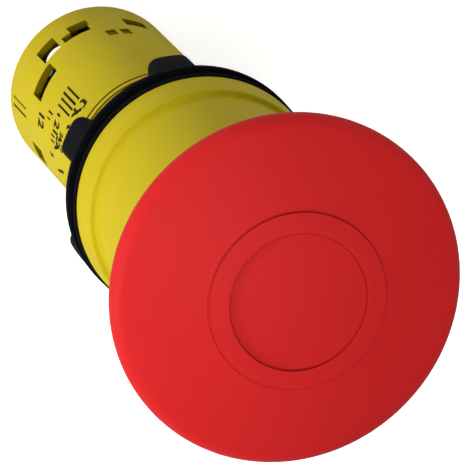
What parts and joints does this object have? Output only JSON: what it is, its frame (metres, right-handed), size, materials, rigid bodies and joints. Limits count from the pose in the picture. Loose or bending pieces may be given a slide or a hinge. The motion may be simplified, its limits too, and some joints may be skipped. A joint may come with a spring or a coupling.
{
  "type": "emergency stop push button",
  "caption": "Panel push button with a red mushroom head that latches when pushed and releases when pulled, on a yellow body with a rear fixing nut and contacts.",
  "frame": {"origin": "centre of the gasket's rear face, where the panel's front comes", "axes": "+Z along the button towards the head, -Y the side of the longer row of windows"},
  "size_m": [0.04, 0.04, 0.0885],
  "materials": {
    "red_head": "satin red plastic",
    "yellow_plastic": "satin yellow plastic",
    "black_plastic": "matte black plastic",
    "black_rubber": "matte black rubber",
    "grey_plastic": "matte dark grey plastic",
    "white_plastic": "matte white plastic",
    "contact_brass": "bright",
    "steel": "zinc plated"
  },
  "bodies": {
    "housing": {"front_housing": "yellow_plastic", "gasket": "black_rubber", "lip_seal": "black_rubber", "guide_bush": "grey_plastic", "pawl_carrier": "grey_plastic", "pawl_pin_1": "steel", "pawl_pin_2": "steel", "pawl_pin_3": "steel", "rear_housing": "yellow_plastic", "contact_base": "black_plastic", "carriage_spring": "steel", "terminal_11": "contact_brass", "terminal_12": "contact_brass", "terminal_21": "contact_brass", "terminal_22": "contact_brass"},
    "button": {"head_cap": "red_head", "stem": "grey_plastic", "contact_carriage": "white_plastic", "bridge_1": "contact_brass", "bridge_2": "contact_brass", "bridge_spring_1": "steel", "bridge_spring_2": "steel"},
    "washer": {"thrust_washer": "black_plastic"},
    "nut": {"fixing_nut": "black_plastic"},
    "garter": {"garter_spring": "steel"},
    "pawl_1": {"pawl_1": "steel"},
    "pawl_2": {"pawl_2": "steel"},
    "pawl_3": {"pawl_3": "steel"},
    "clamp_11": {"clamp_11": "steel"},
    "screw_11": {"screw_11": "steel"},
    "clamp_12": {"clamp_12": "steel"},
    "screw_12": {"screw_12": "steel"},
    "clamp_21": {"clamp_21": "steel"},
    "screw_21": {"screw_21": "steel"},
    "clamp_22": {"clamp_22": "steel"},
    "screw_22": {"screw_22": "steel"}
  },
  "joints": [
    {"name": "head_slide", "type": "slide", "parent": "housing", "child": "button", "axis": [0, 0, -1], "range_m": [0, 0.0043], "deforming": ["carriage_spring"]},
    {"name": "garter_shift", "type": "slide", "parent": "housing", "child": "garter", "axis": [0, 0, 1], "range_m": [0, 0.00181]},
    {"name": "nut_travel", "type": "slide", "parent": "housing", "child": "washer", "axis": [0, 0, -1], "range_m": [-0.002, 0.0045]},
    {"name": "nut_turn", "type": "hinge", "parent": "washer", "child": "nut", "pos_m": [0, 0, 0], "axis": [0, 0, -1], "range_deg": [-481, 1081]},
    {"name": "pawl_1_swing", "type": "hinge", "parent": "housing", "child": "pawl_1", "pos_m": [0, 0.009, 0.012], "axis": [1, 0, 0], "range_deg": [0, 51]},
    {"name": "pawl_2_swing", "type": "hinge", "parent": "housing", "child": "pawl_2", "pos_m": [-0.00779, -0.0045, 0.012], "axis": [-0.5, 0.866, 0], "range_deg": [0, 51]},
    {"name": "pawl_3_swing", "type": "hinge", "parent": "housing", "child": "pawl_3", "pos_m": [0.00779, -0.0045, 0.012], "axis": [-0.5, -0.866, 0], "range_deg": [0, 51]},
    {"name": "clamp_11_travel", "type": "slide", "parent": "housing", "child": "clamp_11", "axis": [0, 0, 1], "range_m": [0, 0.0023]},
    {"name": "screw_11_turn", "type": "hinge", "parent": "clamp_11", "child": "screw_11", "pos_m": [0.00037, -0.00559, -0.0403], "axis": [0, 0, 1], "range_deg": [0, 1657]},
    {"name": "clamp_12_travel", "type": "slide", "parent": "housing", "child": "clamp_12", "axis": [0, 0, 1], "range_m": [0, 0.0023]},
    {"name": "screw_12_turn", "type": "hinge", "parent": "clamp_12", "child": "screw_12", "pos_m": [0.00479, 0.00291, -0.0403], "axis": [0, 0, 1], "range_deg": [0, 1657]},
    {"name": "clamp_21_travel", "type": "slide", "parent": "housing", "child": "clamp_21", "axis": [0, 0, 1], "range_m": [0, 0.0023]},
    {"name": "screw_21_turn", "type": "hinge", "parent": "clamp_21", "child": "screw_21", "pos_m": [-0.00479, -0.00291, -0.0403], "axis": [0, 0, 1], "range_deg": [0, 1657]},
    {"name": "clamp_22_travel", "type": "slide", "parent": "housing", "child": "clamp_22", "axis": [0, 0, 1], "range_m": [0, 0.0023]},
    {"name": "screw_22_turn", "type": "hinge", "parent": "clamp_22", "child": "screw_22", "pos_m": [-0.00037, 0.00559, -0.0403], "axis": [0, 0, 1], "range_deg": [0, 1657]}
  ],
  "couplings": [
    {"joint": "garter_shift", "follows": "head_slide", "ratio": 0.42},
    {"joint": "nut_turn", "follows": "nut_travel", "rad_per_m": 4188.8},
    {"joint": "pawl_1_swing", "follows": "head_slide", "rad_per_m": 206.74},
    {"joint": "pawl_2_swing", "follows": "head_slide", "rad_per_m": 206.74},
    {"joint": "pawl_3_swing", "follows": "head_slide", "rad_per_m": 206.74},
    {"joint": "screw_11_turn", "follows": "clamp_11_travel", "rad_per_m": 12566},
    {"joint": "screw_12_turn", "follows": "clamp_12_travel", "rad_per_m": 12566},
    {"joint": "screw_21_turn", "follows": "clamp_21_travel", "rad_per_m": 12566},
    {"joint": "screw_22_turn", "follows": "clamp_22_travel", "rad_per_m": 12566}
  ]
}
